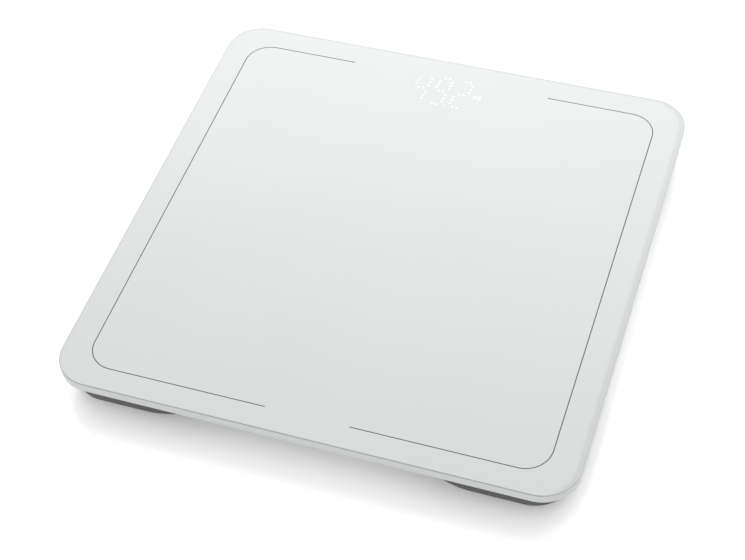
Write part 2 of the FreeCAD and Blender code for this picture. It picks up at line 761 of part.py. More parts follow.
def unit_switch():
    """The small push switch under the board, open below where its plunger slides."""
    bottom = BOARD_BOTTOM - SWITCH_HEIGHT
    body = centred_box(*BUTTON_AT, bottom, SWITCH_SIDE, SWITCH_SIDE, SWITCH_HEIGHT)
    return body.cut(cylinder(*BUTTON_AT, bottom, bottom + SWITCH_WELL, PLUNGER_R + PLUNGER_GAP))


def switch_plunger():
    """It stops short of the well's end by more than its travel."""
    top = BOARD_BOTTOM - SWITCH_HEIGHT + SWITCH_WELL - BUTTON_TRAVEL - SWITCH_END_GAP
    return cylinder(*BUTTON_AT, plunger_bottom(), top, PLUNGER_R)


# ---------------------------------------------------------------- batteries


def battery_rows():
    return [BAY_CENTRE_Y + place * BATTERY_PITCH for place in (-1, 0, 1)]


def terminal_side(index):
    """The cells lie head to tail: +1 where the raised terminal points to +X."""
    return 1 if index % 2 == 0 else -1


def along_x(side, x, y, z, radius, length):
    return Part.makeCylinder(radius, length, Vector(x, y, z), Vector(side, 0, 0))


def battery(index):
    side = terminal_side(index)
    y = battery_rows()[index]
    tip_x = side * (BAY_LENGTH / 2 - PLATE_THICKNESS)
    can_length = BATTERY_LENGTH - TERMINAL_LENGTH
    can = along_x(-side, tip_x - side * TERMINAL_LENGTH, y, BATTERY_Z, BATTERY_R, can_length)
    can = can.makeFillet(BATTERY_EDGE_R, [e for e in can.Edges if e.Length > BATTERY_R * 6])
    terminal = along_x(-side, tip_x, y, BATTERY_Z, TERMINAL_R, TERMINAL_LENGTH + BATTERY_EDGE_R)
    return can.fuse(terminal).removeSplitter()


def lead_tabs():
    """The side and row of each end contact that a lead is soldered to."""
    rows = battery_rows()
    return [(-1, rows[2]), (1, rows[0])]


def battery_plates():
    """The end contacts: a single and a linked pair on each end wall."""
    rows = battery_rows()
    plates = []
    spans = [(-1, rows[0], rows[1]), (-1, rows[2], rows[2]), (1, rows[0], rows[0]), (1, rows[1], rows[2])]
    for side, first, last in spans:
        x = side * (BAY_LENGTH - PLATE_THICKNESS) / 2
        bottom = BATTERY_Z - PLATE_HEIGHT / 2
        span = last - first + PLATE_WIDTH
        plate = centred_box(x, (first + last) / 2, bottom, PLATE_THICKNESS, span, PLATE_HEIGHT)
        if (side, first) in lead_tabs():
            tab_x = side * (BAY_LENGTH + TAB_LENGTH) / 2
            tab = centred_box(tab_x, first, TAB_Z, TAB_LENGTH, TAB_WIDTH, PLATE_THICKNESS)
            plate = fused([plate, tab])
        plates.append(plate)
    return Part.makeCompound(plates)


def battery_springs():
    """Conical springs that press each cell's flat end: short runs round a cone, joined by arcs."""
    springs = []
    room = BAY_LENGTH - 2 * PLATE_THICKNESS - BATTERY_LENGTH
    height = room - 2 * SPRING_WIRE_R
    steps = SPRING_TURNS * SPRING_STEPS
    for index, y in enumerate(battery_rows()):
        side = -terminal_side(index)
        wide_end = side * (BAY_LENGTH / 2 - PLATE_THICKNESS - SPRING_WIRE_R)
        points = []
        for step in range(steps + 1):
            share = step / steps
            angle = 2 * math.pi * SPRING_TURNS * share
            radius = SPRING_WIDE_R + (SPRING_NARROW_R - SPRING_WIDE_R) * share
            x = wide_end - side * height * share
            points.append(Vector(x, y + radius * math.cos(angle), BATTERY_Z + radius * math.sin(angle)))
        springs.append(wire(points, SPRING_WIRE_R))
    return Part.makeCompound(springs)


def battery_door():
    """The lid. It turns on two short pins, and a springy tongue snaps its other end shut."""
    length = BAY_LENGTH - 2 * DOOR_GAP
    free_y = BAY_CENTRE_Y - BAY_WIDTH / 2 + DOOR_GAP
    pin_length = length + 2 * (DOOR_GAP + HINGE_PIN_REACH)
    nib_width, nib_depth, nib_height = DOOR_NIB
    nib_bottom = TRAY_BOTTOM + DOOR_NIB_RISE
    door = fused([
        box(-length / 2, free_y, TRAY_BOTTOM, length / 2, HINGE_Y, TRAY_BOTTOM + DOOR_THICKNESS),
        along_x(1, -length / 2, HINGE_Y, HINGE_Z, HINGE_R, length),
        along_x(1, -pin_length / 2, HINGE_Y, HINGE_Z, HINGE_PIN_R, pin_length),
        box(-nib_width / 2, free_y - nib_depth, nib_bottom, nib_width / 2, free_y, nib_bottom + nib_height),
    ])
    slot_y = free_y + TONGUE_LENGTH / 2
    for x in (-TONGUE_HALF_WIDTH, TONGUE_HALF_WIDTH):
        door = door.cut(centred_box(x, slot_y, TRAY_BOTTOM, TONGUE_SLOT, TONGUE_LENGTH, DOOR_THICKNESS))
    for row in range(GRIP_ROWS):
        door = door.cut(centred_box(0, free_y + GRIP_FIRST + GRIP_PITCH * row, TRAY_BOTTOM, *GRIP_SIZE))
    return door


def battery_leads():
    """The red and black wires from the end contacts to the main board."""
    wires = []
    low = WIRE_ON_FLOOR
    start_z = TAB_Z + PLATE_THICKNESS / 2
    for side, y in lead_tabs():
        riser_x = BATTERY_LEAD_RISERS[side]
        points = [
            Vector(side * (BAY_LENGTH / 2 + TAB_LENGTH), y, start_z),
            Vector(side * 33.0, y, start_z),
            Vector(side * 34.0, y + 9.0, low),
            Vector(side * 34.0, 80.0, low),
            Vector(riser_x, RISER_Y, low),
            Vector(riser_x, RISER_Y, BOARD_BOTTOM),
        ]
        wires.append(wire(points))
    return Part.makeCompound(wires)


# ---------------------------------------------------------------- the whole scale


def nodes():
    """Every piece by name."""
    found = {
        "glass_platform": glass_platform(),
        "back_print": back_print(),
        "display_diffuser": display_diffuser(),
        "rim_tape": rim_tape(),
        "base_shell": base_shell(),
        "cell_screws": cell_screws(),
        "light_mask": light_mask(),
        "display_lamps": display_lamps(),
        "main_board": main_board(),
        "controller_chip": controller_chip(),
        "board_parts": board_parts(),
        "board_screws": board_screws(),
        "unit_button": unit_button(),
        "unit_switch": unit_switch(),
        "switch_plunger": switch_plunger(),
        "battery_plates": battery_plates(),
        "battery_springs": battery_springs(),
        "battery_door": battery_door(),
        "battery_leads": battery_leads(),
    }
    for index in range(3):
        found[f"battery_{index + 1}"] = battery(index)
    corner_pieces = {
        "load_cell": load_cell(),
        "strain_gauge": strain_gauge(),
        "cell_seat": cell_seat(),
        "seat_tape": seat_tape(),
        "foot_cup": foot_cup(),
        "foot_pad": foot_pad(),
    }
    for corner, (sx, sy) in CORNERS.items():
        for piece, shape in corner_pieces.items():
            found[f"{piece}_{corner}"] = in_corner(shape, sx, sy)
        found[f"cell_leads_{corner}"] = cell_leads(sx, sy, LEAD_RISERS[corner])
    return found


os.makedirs("parts", exist_ok=True)
for node, shape in nodes().items():
    shape.exportStep(f"parts/{node}.step")
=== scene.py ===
"""Digital bathroom scale: its looks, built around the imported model. Metres, +Z up, readout towards +Y."""

import math

import bmesh
import bpy
from mathutils import Matrix, Vector


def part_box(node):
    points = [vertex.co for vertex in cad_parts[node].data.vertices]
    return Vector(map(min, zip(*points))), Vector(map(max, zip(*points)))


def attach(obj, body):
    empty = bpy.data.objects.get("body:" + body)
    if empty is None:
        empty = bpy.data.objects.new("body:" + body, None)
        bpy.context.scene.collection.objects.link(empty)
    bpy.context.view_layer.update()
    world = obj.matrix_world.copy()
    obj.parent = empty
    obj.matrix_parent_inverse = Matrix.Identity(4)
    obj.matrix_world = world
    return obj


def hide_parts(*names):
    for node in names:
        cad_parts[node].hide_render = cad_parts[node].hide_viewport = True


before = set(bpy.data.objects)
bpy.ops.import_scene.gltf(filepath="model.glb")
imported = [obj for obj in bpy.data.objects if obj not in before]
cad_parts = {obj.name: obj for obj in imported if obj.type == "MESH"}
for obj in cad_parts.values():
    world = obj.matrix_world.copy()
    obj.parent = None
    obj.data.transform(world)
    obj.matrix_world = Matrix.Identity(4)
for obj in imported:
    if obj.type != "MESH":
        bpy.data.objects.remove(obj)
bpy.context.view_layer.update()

MM = 0.001

# ---------------------------------------------------------------- places taken from the frame

GLASS_LOW, GLASS_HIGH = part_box("glass_platform")
GLASS_HALF = GLASS_HIGH.x
GLASS_TOP = GLASS_HIGH.z
GLASS_BOTTOM = GLASS_LOW.z
GLASS_CORNER_R = 22 * MM
# The white coat on the back stops short of the edge, leaving a real narrow clear rim; its outline is shifted
# and shrunk so that this darker rim is widest at the right and rear sides, which is painted shade
COAT_AND_SHADE_CENTRE = (-1.05 * MM, -1.3 * MM)
COAT_AND_SHADE_HALF_X = 147.75 * MM
COAT_AND_SHADE_HALF_Y = 149.2 * MM
COAT_AND_SHADE_FADE = 1.1 * MM

# ---------------------------------------------------------------- material helpers

# Sockets of the Mix node that carry colour: the node has others of the same names
MIX_COLOUR_A, MIX_COLOUR_B, MIX_COLOUR_OUT = 6, 7, 2
NOISE_LOW, NOISE_HIGH = 0.3, 0.7

class Look:
    """One material: a Principled shader and short calls for the nodes that feed it."""

    def __init__(self, name, **values):
        self.material = bpy.data.materials.new(name)
        self.material.use_nodes = True
        self.tree = self.material.node_tree
        self.shader = self.tree.nodes["Principled BSDF"]
        for socket, value in values.items():
            self.shader.inputs[socket.replace("_", " ")].default_value = value

    def node(self, kind, links=(), **settings):
        """Adds a node. links are (input, output socket) pairs; settings are properties or input values."""
        node = self.tree.nodes.new("ShaderNode" + kind)
        for key, value in settings.items():
            if hasattr(node, key):
                setattr(node, key, value)
            else:
                node.inputs[key.replace("_", " ")].default_value = value
        for where, source in links:
            self.tree.links.new(source, node.inputs[where])
        return node

    def feed(self, socket, source):
        self.tree.links.new(source, self.shader.inputs[socket])

    def place(self, stretch=(1, 1, 1)):
        """The point on the object, in its own frame, stretched along each axis."""
        where = self.node("TexCoord").outputs["Object"]
        return self.node("Mapping", [("Vector", where)], Scale=stretch).outputs["Vector"]

    def noise(self, size, detail=3.0, stretch=(1, 1, 1), roughness=0.5):
        """Smooth noise whose lumps are about size metres across."""
        node = self.node("TexNoise", [("Vector", self.place(stretch))], Scale=1 / size, Detail=detail)
        node.inputs["Roughness"].default_value = roughness
        return node.outputs["Fac"]

    def ramp(self, source, low, high, stops=(NOISE_LOW, NOISE_HIGH)):
        """A colour that runs from low to high as source goes from the first stop to the second."""
        node = self.node("ValToRGB", [("Fac", source)])
        for element, at, colour in zip(node.color_ramp.elements, stops, (low, high)):
            element.position = at
            element.color = (*colour, 1)
        return node.outputs["Color"]

    def span(self, source, low, high):
        """source, over the usual range of noise, as a number from low to high."""
        node = self.node("MapRange", [("Value", source)])
        for where, value in enumerate((NOISE_LOW, NOISE_HIGH, low, high), start=1):
            node.inputs[where].default_value = value
        return node.outputs["Result"]

    def blend(self, share, source, colour):
        """source where share is 0, and colour where share is 1."""
        mix = self.node("Mix", data_type="RGBA", blend_type="MIX")
        self.tree.links.new(share, mix.inputs["Factor"])
        self.tree.links.new(source, mix.inputs[MIX_COLOUR_A])
        mix.inputs[MIX_COLOUR_B].default_value = (*colour, 1)
        return mix.outputs[MIX_COLOUR_OUT]

    def bump(self, source, height):
        """Relief of that height in metres."""
        return self.node("Bump", [("Height", source)], Distance=height).outputs["Normal"]


def tint(colour, factor):
    """The colour made lighter or darker."""
    return tuple(min(1.0, channel * factor) for channel in colour)


def plastic(name, colour, grain=0.25 * MM, relief=0.02 * MM, roughness=(0.5, 0.62)):
    """Moulded plastic with a spark-eroded grain, slightly uneven in tone."""
    look = Look(name, IOR=1.5)
    look.feed("Base Color", look.ramp(look.noise(6 * MM, 4), tint(colour, 0.9), tint(colour, 1.1)))
    fine = look.noise(grain, 2)
    look.feed("Roughness", look.span(fine, *roughness))
    look.feed("Normal", look.bump(fine, relief))
    return look.material


def metal(name, colour, roughness=(0.25, 0.4), stretch=(1, 1, 1), grain=0.4 * MM):
    """Plated metal, brushed along the axis that stretch makes long."""
    look = Look(name, Metallic=1.0)
    streaks = look.noise(grain, 4, stretch)
    look.feed("Base Color", look.ramp(streaks, tint(colour, 0.9), tint(colour, 1.05)))
    look.feed("Roughness", look.span(streaks, *roughness))
    look.feed("Normal", look.bump(streaks, 0.004 * MM))
    return look.material


def dress(node, *materials):
    """Gives a CAD node these materials in place of its own."""
    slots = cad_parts[node].data.materials
    slots.clear()
    for material in materials:
        slots.append(material)


# ---------------------------------------------------------------- materials of the glass


def edge_distance(look, centre, half_x, half_y, radius):
    """How far each point lies inside a rounded rectangle, in metres, and how far its side faces towards +X,
    used as the share of painted light on the right-facing side.
    """
    where = look.node("TexCoord").outputs["Object"]
    moved = look.node("VectorMath", [("Vector", where)], operation="SUBTRACT")
    moved.inputs[1].default_value = (*centre, 0)
    flat = look.node("VectorMath", operation="MULTIPLY")
    look.tree.links.new(moved.outputs[0], flat.inputs[0])
    flat.inputs[1].default_value = (1, 1, 0)
    positive = look.node("VectorMath", [("Vector", flat.outputs[0])], operation="ABSOLUTE")
    beyond = look.node("VectorMath", [("Vector", positive.outputs[0])], operation="SUBTRACT")
    beyond.inputs[1].default_value = (half_x - radius, half_y - radius, 0)
    outside = look.node("VectorMath", [("Vector", beyond.outputs[0])], operation="MAXIMUM")
    length = look.node("VectorMath", [("Vector", outside.outputs[0])], operation="LENGTH")
    inside = look.node("Math", operation="SUBTRACT")
    inside.inputs[0].default_value = radius
    look.tree.links.new(length.outputs["Value"], inside.inputs[1])
    facing = look.node("VectorMath", [("Vector", outside.outputs[0])], operation="NORMALIZE")
    right_side_painted_light = look.node("SeparateXYZ", [("Vector", facing.outputs[0])]).outputs["X"]
    return inside.outputs["Value"], right_side_painted_light


def coated_glass_painted_rim_shade():
    """The top face: white enamel seen through 6 mm of glass, with a clearer, darker rim where the coat ends,
    widened at the right and rear as painted shade.
    """
    look = Look("coated_glass_painted_rim_shade", IOR=1.52)
    white = look.ramp(look.noise(90 * MM, 2), (0.430, 0.445, 0.440), (0.440, 0.453, 0.448))
    distance, _ = edge_distance(look, COAT_AND_SHADE_CENTRE, COAT_AND_SHADE_HALF_X, COAT_AND_SHADE_HALF_Y, GLASS_CORNER_R)
    clear = look.node("MapRange", [("Value", distance)], interpolation_type="SMOOTHSTEP")
    for socket, value in (("From Min", -COAT_AND_SHADE_FADE), ("From Max", COAT_AND_SHADE_FADE), ("To Min", 1), ("To Max", 0)):
        clear.inputs[socket].default_value = value
    # The darker rim colour: clear glass where the coat ends, plus painted shade where the rim is widened at
    # the right and rear
    look.feed("Base Color", look.blend(clear.outputs["Result"], white, (0.388, 0.404, 0.399)))
    look.feed("Roughness", look.span(look.noise(25 * MM, 5), 0.035, 0.06))
    look.feed("Normal", look.bump(look.noise(120 * MM, 1), 0.03 * MM))
    return look.material


def glass_edge():
    """The ground and polished side of the glass: pale green, with faint marks along the edge, and painted
    shade on the side that faces right.
    """
    look = Look("glass_edge", IOR=1.52, Specular_IOR_Level=0.3)
    marks = look.noise(2 * MM, 3, stretch=(0.2, 0.2, 6))
    _, right_side_painted_light = edge_distance(look, (0, 0), GLASS_HALF, GLASS_HALF, GLASS_CORNER_R)
    ground = look.ramp(marks, (0.50, 0.52, 0.51), (0.545, 0.56, 0.55))
    # Painted shade: the side face that faces right gets a darker colour
    look.feed("Base Color", look.blend(right_side_painted_light, ground, (0.45, 0.46, 0.455)))
    look.feed("Roughness", look.span(marks, 0.3, 0.45))
    look.feed("Normal", look.bump(marks, 0.01 * MM))
    return look.material


def glass_arris():
    """The narrow bevels, darker because the coat doesn't reach behind them, with a painted highlight on the
    side that faces right.
    """
    look = Look("glass_arris", IOR=1.52, Specular_IOR_Level=0.15)
    marks = look.noise(1.5 * MM, 3)
    _, right_side_painted_light = edge_distance(look, (0, 0), GLASS_HALF, GLASS_HALF, GLASS_CORNER_R)
    ground = look.ramp(marks, (0.27, 0.29, 0.28), (0.33, 0.35, 0.34))
    # Painted highlight: the bevels that face right get a lighter colour
    look.feed("Base Color", look.blend(right_side_painted_light, ground, (0.42, 0.43, 0.425)))
    look.feed("Roughness", look.span(marks, 0.4, 0.55))
    return look.material


def border_ink():
    """The thin dark print of the border line."""
    look = Look("border_ink", IOR=1.5)
    blots = look.noise(0.8 * MM, 3)
    look.feed("Base Color", look.ramp(blots, (0.06, 0.052, 0.046), (0.085, 0.075, 0.068)))
    look.feed("Roughness", look.span(blots, 0.25, 0.4))
    return look.material


def lit_dot():
    """A lamp shining through the coat."""
    look = Look("lit_dot", Roughness=0.4, Emission_Strength=0.25)
    look.shader.inputs["Emission Color"].default_value = (1, 1, 1, 1)
    look.feed("Base Color", look.ramp(look.noise(1 * MM, 2), (0.62, 0.63, 0.63), (0.68, 0.68, 0.68)))
    return look.material


# ---------------------------------------------------------------- materials of the inner and lower parts

CELL_HALF_LENGTH = 23 * MM
BAND_START = 0.72


def foam_tape():
    """Black acrylic foam: matt, with closed cells."""
    look = Look("foam_tape", IOR=1.4, Roughness=0.85)
    cells = look.node("TexVoronoi", [("Vector", look.place())], Scale=1 / (0.5 * MM)).outputs["Distance"]
    look.feed("Base Color", look.ramp(cells, (0.05, 0.05, 0.05), (0.10, 0.10, 0.10)))
    look.feed("Normal", look.bump(cells, 0.05 * MM))
    return look.material


def foot_rubber():
    """Soft black rubber with a dusty bloom."""
    look = Look("foot_rubber", IOR=1.45)
    bloom = look.noise(4 * MM, 6)
    look.feed("Base Color", look.ramp(bloom, (0.028, 0.028, 0.028), (0.05, 0.05, 0.048)))
    look.feed("Roughness", look.span(bloom, 0.7, 0.88))
    look.feed("Normal", look.bump(look.noise(0.3 * MM, 2), 0.02 * MM))
    return look.material


def white_enamel():
    """The coat on the back of the glass, slightly orange-peeled."""
    look = Look("white_enamel", IOR=1.5)
    peel = look.noise(1.2 * MM, 2)
    look.feed("Base Color", look.ramp(look.noise(15 * MM, 3), (0.50, 0.52, 0.51), (0.55, 0.57, 0.56)))
    look.feed("Roughness", look.span(peel, 0.3, 0.42))
    look.feed("Normal", look.bump(peel, 0.01 * MM))
    return look.material


def silicone():
    """The soft white cover over a strain gauge."""
    look = Look("silicone", IOR=1.41, Subsurface_Weight=0.15, Subsurface_Scale=1 * MM)
    lumps = look.noise(1.5 * MM, 2)
    look.feed("Base Color", look.ramp(lumps, (0.78, 0.78, 0.75), (0.88, 0.88, 0.85)))
    look.feed("Roughness", look.span(lumps, 0.25, 0.4))
    look.feed("Normal", look.bump(lumps, 0.15 * MM))
    return look.material


def circuit_board():
    """Green solder mask over copper tracks that run across the board in steps."""
    look = Look("circuit_board", IOR=1.55)
    tracks = look.node("TexBrick", [("Vector", look.place())], Scale=1, offset=0.37)
    tracks.inputs["Color1"].default_value = (0.012, 0.15, 0.06, 1)
    tracks.inputs["Color2"].default_value = (0.016, 0.17, 0.07, 1)
    tracks.inputs["Mortar"].default_value = (0.03, 0.26, 0.10, 1)
    tracks.inputs["Mortar Size"].default_value = 0.18 * MM
    tracks.inputs["Brick Width"].default_value = 9 * MM
    tracks.inputs["Row Height"].default_value = 1.4 * MM
    look.feed("Base Color", tracks.outputs["Color"])
    look.feed("Roughness", look.span(look.noise(3 * MM, 3), 0.22, 0.34))
    look.feed("Normal", look.bump(tracks.outputs["Fac"], 0.03 * MM))
    return look.material


def chip_parts():
    """Small parts, each with its own tone from black resin to tan ceramic."""
    look = Look("chip_parts", IOR=1.5)
    own = look.node("NewGeometry").outputs["Random Per Island"]
    grain = look.noise(0.3 * MM, 3)
    look.feed("Base Color", look.ramp(own, (0.02, 0.02, 0.022), (0.36, 0.25, 0.15), (0.4, 0.6)))
    look.feed("Roughness", look.span(grain, 0.4, 0.6))
    look.feed("Normal", look.bump(grain, 0.01 * MM))
    return look.material


def wire_cover(tones):
    """PVC insulation, with a colour of its own for each wire of the ribbon."""
    look = Look("wire_cover", IOR=1.52)
    own = look.node("NewGeometry").outputs["Random Per Island"]
    choice = look.node("ValToRGB", [("Fac", own)])
    choice.color_ramp.interpolation = "CONSTANT"
    for extra in range(len(tones) - 2):
        choice.color_ramp.elements.new((extra + 1) / len(tones))
    for index, tone in enumerate(tones):
        choice.color_ramp.elements[index].position = index / len(tones)
        choice.color_ramp.elements[index].color = (*tone, 1)
    wear = look.noise(3 * MM, 3)
    look.feed("Base Color", choice.outputs["Color"])
    look.feed("Roughness", look.span(wear, 0.3, 0.5))
    look.feed("Normal", look.bump(wear, 0.05 * MM))
    return look.material


def battery_wrap(name, side):
    """A plain cell: a dark wrap with a coppery band at the end that side points to."""
    look = Look(name, IOR=1.5)
    along = look.node("SeparateXYZ", [("Vector", look.place((side, 1, 1)))]).outputs["X"]
    steps = look.node("MapRange", [("Value", along)])
    for socket, value in (("From Min", -CELL_HALF_LENGTH), ("From Max", CELL_HALF_LENGTH)):
        steps.inputs[socket].default_value = value
    bands = look.node("ValToRGB", [("Fac", steps.outputs["Result"])])
    bands.color_ramp.interpolation = "CONSTANT"
    bands.color_ramp.elements[0].color = (0.05, 0.055, 0.06, 1)
    bands.color_ramp.elements[1].position = BAND_START
    bands.color_ramp.elements[1].color = (0.50, 0.27, 0.12, 1)
    scuffs = look.noise(2 * MM, 4, stretch=(0.3, 1, 1))
    look.feed("Base Color", bands.outputs["Color"])
    look.feed("Roughness", look.span(scuffs, 0.25, 0.38))
    look.feed("Normal", look.bump(scuffs, 0.01 * MM))
    return look.material


# ---------------------------------------------------------------- mesh helpers


def new_piece(name, mesh_maker, materials, body="scale", smooth=True):
    """Makes a mesh object from a function that fills a bmesh, and sets it to ride on a body."""
    bm = bmesh.new()
    mesh_maker(bm)
    bmesh.ops.recalc_face_normals(bm, faces=bm.faces)
    mesh = bpy.data.meshes.new(name)
    bm.to_mesh(mesh)
    bm.free()
    piece = bpy.data.objects.new(name, mesh)
    bpy.context.scene.collection.objects.link(piece)
    for material in materials:
        mesh.materials.append(material)
    if smooth:
        mesh.shade_smooth()
    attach(piece, body)
    return piece


def rounded_square(half_x, half_y, radius, steps=24):
    """Corner by corner round a rounded rectangle, anticlockwise from the front right."""
    points = []
    for quarter, (sx, sy) in enumerate(((1, -1), (1, 1), (-1, 1), (-1, -1))):
        for step in range(steps + 1):
            angle = math.radians(90) * (quarter - 1 + step / steps)
            x = sx * (half_x - radius) + radius * math.cos(angle)
            y = sy * (half_y - radius) + radius * math.sin(angle)
            points.append((x, y))
    return points


def ring_of(bm, points, z):
    """The points as vertices at one height."""
    return [bm.verts.new((x, y, z)) for x, y in points]


def bridge(bm, lower, upper, slot=0):
    """A closed strip of faces between two rings."""
    count = len(lower)
    for i in range(count):
        j = (i + 1) % count
        face = bm.faces.new((lower[i], lower[j], upper[j], upper[i]))
        face.material_index = slot


# ---------------------------------------------------------------- glass

ARRIS = 0.45 * MM
LOWER_ARRIS = 0.15 * MM
ARRIS_ROUND = 0.08 * MM
MIN_RING_R = 6 * MM
TOP_INSETS = (3 * MM, 8 * MM, 18 * MM)
TOP_SLOT, EDGE_SLOT, ARRIS_SLOT = 0, 1, 2


def glass_profile():
    """(inset, height, material slot of the strip above) up the edge of the glass."""
    soft = ARRIS_ROUND
    low, high = GLASS_BOTTOM, GLASS_TOP
    return [
        (LOWER_ARRIS, low, ARRIS_SLOT),
        (0, low + LOWER_ARRIS, EDGE_SLOT),
        (0, (low + high) / 2, EDGE_SLOT),
        (0, high - ARRIS - soft, EDGE_SLOT),
        (soft / 2, high - ARRIS + soft, ARRIS_SLOT),
        (ARRIS - soft, high - soft / 2, ARRIS_SLOT),
        (ARRIS + soft, high, TOP_SLOT),
        *((inset, high, TOP_SLOT) for inset in TOP_INSETS),
    ]


def make_glass(bm):
    """The sheet, ring by ring up its edge, closed by flat faces below and on top."""
    rings = []
    for inset, z, _ in glass_profile():
        radius = max(GLASS_CORNER_R - inset, MIN_RING_R)
        half = GLASS_HALF - inset
        rings.append(ring_of(bm, rounded_square(half, half, radius), z))
    for (lower, upper), (_, _, slot) in zip(zip(rings, rings[1:]), glass_profile()):
        bridge(bm, lower, upper, slot)
    bm.faces.new(rings[0]).material_index = TOP_SLOT
    bm.faces.new(rings[-1]).material_index = TOP_SLOT


glass = new_piece("glass_sheet", make_glass, [coated_glass_painted_rim_shade(), glass_edge(), glass_arris()])
glass.modifiers.new("even_shading", "WEIGHTED_NORMAL").keep_sharp = True
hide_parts("glass_platform")

# ---------------------------------------------------------------- printed border

LINE_CENTRE = (-0.5 * MM, -1.2 * MM)
LINE_HALF_X = 132.8 * MM
LINE_HALF_Y = 134.5 * MM
LINE_CORNER_R = 15.5 * MM
LINE_WIDTH = 0.6 * MM
LINE_LIFT = 0.02 * MM
LINE_CORNER_STEPS = 16
RIBBON_FLAT_SHARE = 0.9
REAR_GAP = 63.5 * MM
FRONT_GAP = 24.3 * MM


def border_route(side):
    """From the rear gap round one side of the platform to the front gap."""
    outline = rounded_square(LINE_HALF_X, LINE_HALF_Y, LINE_CORNER_R, LINE_CORNER_STEPS)
    right_half = [(x, y) for x, y in outline if x > 0]
    route = [(FRONT_GAP, -LINE_HALF_Y)] + right_half + [(REAR_GAP, LINE_HALF_Y)]
    return [Vector((LINE_CENTRE[0] + side * x, LINE_CENTRE[1] + y, 0)) for x, y in route]


def make_ribbon(bm, route, width, z, rise):
    """A low strip along a route, with a flat top and sides that reach down to the glass."""
    strips = []
    for i, point in enumerate(route):
        ahead = route[min(i + 1, len(route) - 1)] - route[max(i - 1, 0)]
        across = Vector((-ahead.y, ahead.x, 0)).normalized() * (width / 2)
        top = across * RIBBON_FLAT_SHARE
        corners = [point + across, point + top, point - top, point - across]
        heights = (z, z + rise, z + rise, z)
        strips.append([bm.verts.new((p.x, p.y, h)) for p, h in zip(corners, heights)])
    for a, b in zip(strips, strips[1:]):
        for i in range(3):
            bm.faces.new((a[i], a[i + 1], b[i + 1], b[i]))
    bm.faces.new(strips[0])
    bm.faces.new(list(reversed(strips[-1])))
    for a, b in zip(strips, strips[1:]):
        bm.faces.new((a[3], a[0], b[0], b[3]))


INK = border_ink()
for side_name, side in (("left", -1), ("right", 1)):
    line = new_piece(
        f"border_line_{side_name}",
        lambda bm: make_ribbon(bm, border_route(side), LINE_WIDTH, GLASS_TOP, LINE_LIFT),
        [INK],
        smooth=False,
    )

# ---------------------------------------------------------------- lit figures

READOUT_Y = 122.3 * MM
DOT_PITCH = 2.96 * MM
DIGIT_HALF_WIDTH = 4.02 * MM
DASH_HALF_WIDTH = 1.45 * MM
DIGIT_SLANT = 0.09
DIGIT_PITCH = 13.38 * MM
DIGIT_MIDDLE_X = -3.15 * MM
DOT_R = 0.64 * MM
DOT_RISE = 0.05 * MM
DOT_SIDES = 20
DOME_RINGS = ((1.0, 0.0), (0.8, 0.7), (0.45, 0.95))
POINT_R = 0.45 * MM
SIGN_PLACE = (18.05 * MM, 120.3 * MM)
SIGN_HEIGHT = 3.4 * MM
SIGN_STROKE = 0.25 * MM
SIGN_RISE = 0.03 * MM

# Segments that are lit for each figure, as a seven-segment display names them
SEGMENTS = {"4": "bcfg", "9": "abcdfg", "2": "abged"}
# The dots of each segment: side of the figure, and row above or below its middle
SEGMENT_DOTS = {
    "a": [(-1, 4), (1, 4)],
    "g": [(-1, 0), (1, 0)],
    "d": [(-1, -4), (1, -4)],
    "f": [(-1, 1), (-1, 2), (-1, 3)],
    "b": [(1, 1), (1, 2), (1, 3)],
    "e": [(-1, -1), (-1, -2), (-1, -3)],
    "c": [(1, -1), (1, -2), (1, -3)],
}


def figure_dots(figure, centre_x):
    """Where the dots of one figure lie on the glass."""
    dots = []
    for segment in SEGMENTS[figure]:
        half = DASH_HALF_WIDTH if segment in "agd" else DIGIT_HALF_WIDTH
        for side, row in SEGMENT_DOTS[segment]:
            y = row * DOT_PITCH
            dots.append((centre_x + side * half + DIGIT_SLANT * y, READOUT_Y + y))
    return dots


def turns(count):
    """Angles evenly spaced round a circle."""
    return [math.tau * i / count for i in range(count)]


def make_dot(bm, x, y, radius):
    """A very low dome, so that the dot has a soft rim."""
    rings = []
    for share, height in DOME_RINGS:
        reach = radius * share
        outline = [(x + reach * math.cos(a), y + reach * math.sin(a)) for a in turns(DOT_SIDES)]
        rings.append(ring_of(bm, outline, GLASS_TOP + DOT_RISE * height))
    for lower, upper in zip(rings, rings[1:]):
        bridge(bm, lower, upper)
    bm.faces.new(rings[-1])
    bm.faces.new(rings[0])


def make_figures(bm):
    """The three figures and the decimal point."""
    for place, figure in enumerate("492"):
        for x, y in figure_dots(figure, DIGIT_MIDDLE_X + (place - 1) * DIGIT_PITCH):
            make_dot(bm, x, y, DOT_R)
    point_y = -4 * DOT_PITCH
    point_x = DIGIT_MIDDLE_X + DIGIT_PITCH / 2 + DIGIT_SLANT * point_y
    make_dot(bm, point_x, READOUT_Y + point_y, POINT_R)


# The unit sign, KG, as strokes in a box one unit tall: each is a list of points
SIGN_STROKES = [
    [(0, 0), (0, 1)],
    [(0.02, 0.42), (0.5, 1)],
    [(0.16, 0.58), (0.54, 0)],
    [(1.35, 0.85), (1.18, 0.98), (0.98, 0.98), (0.82, 0.8), (0.78, 0.5), (0.83, 0.18), (1.0, 0.02)]
    + [(1.2, 0.03), (1.33, 0.2), (1.35, 0.45), (1.12, 0.45)],
]


def make_sign(bm):
    """The small unit sign to the right of the figures."""
    for stroke in SIGN_STROKES:
        route = []
        for across, up in stroke:
            x, y = across * SIGN_HEIGHT, up * SIGN_HEIGHT
            route.append(Vector((SIGN_PLACE[0] + x + DIGIT_SLANT * y, SIGN_PLACE[1] + y, 0)))
        make_ribbon(bm, route, SIGN_STROKE, GLASS_TOP, SIGN_RISE)


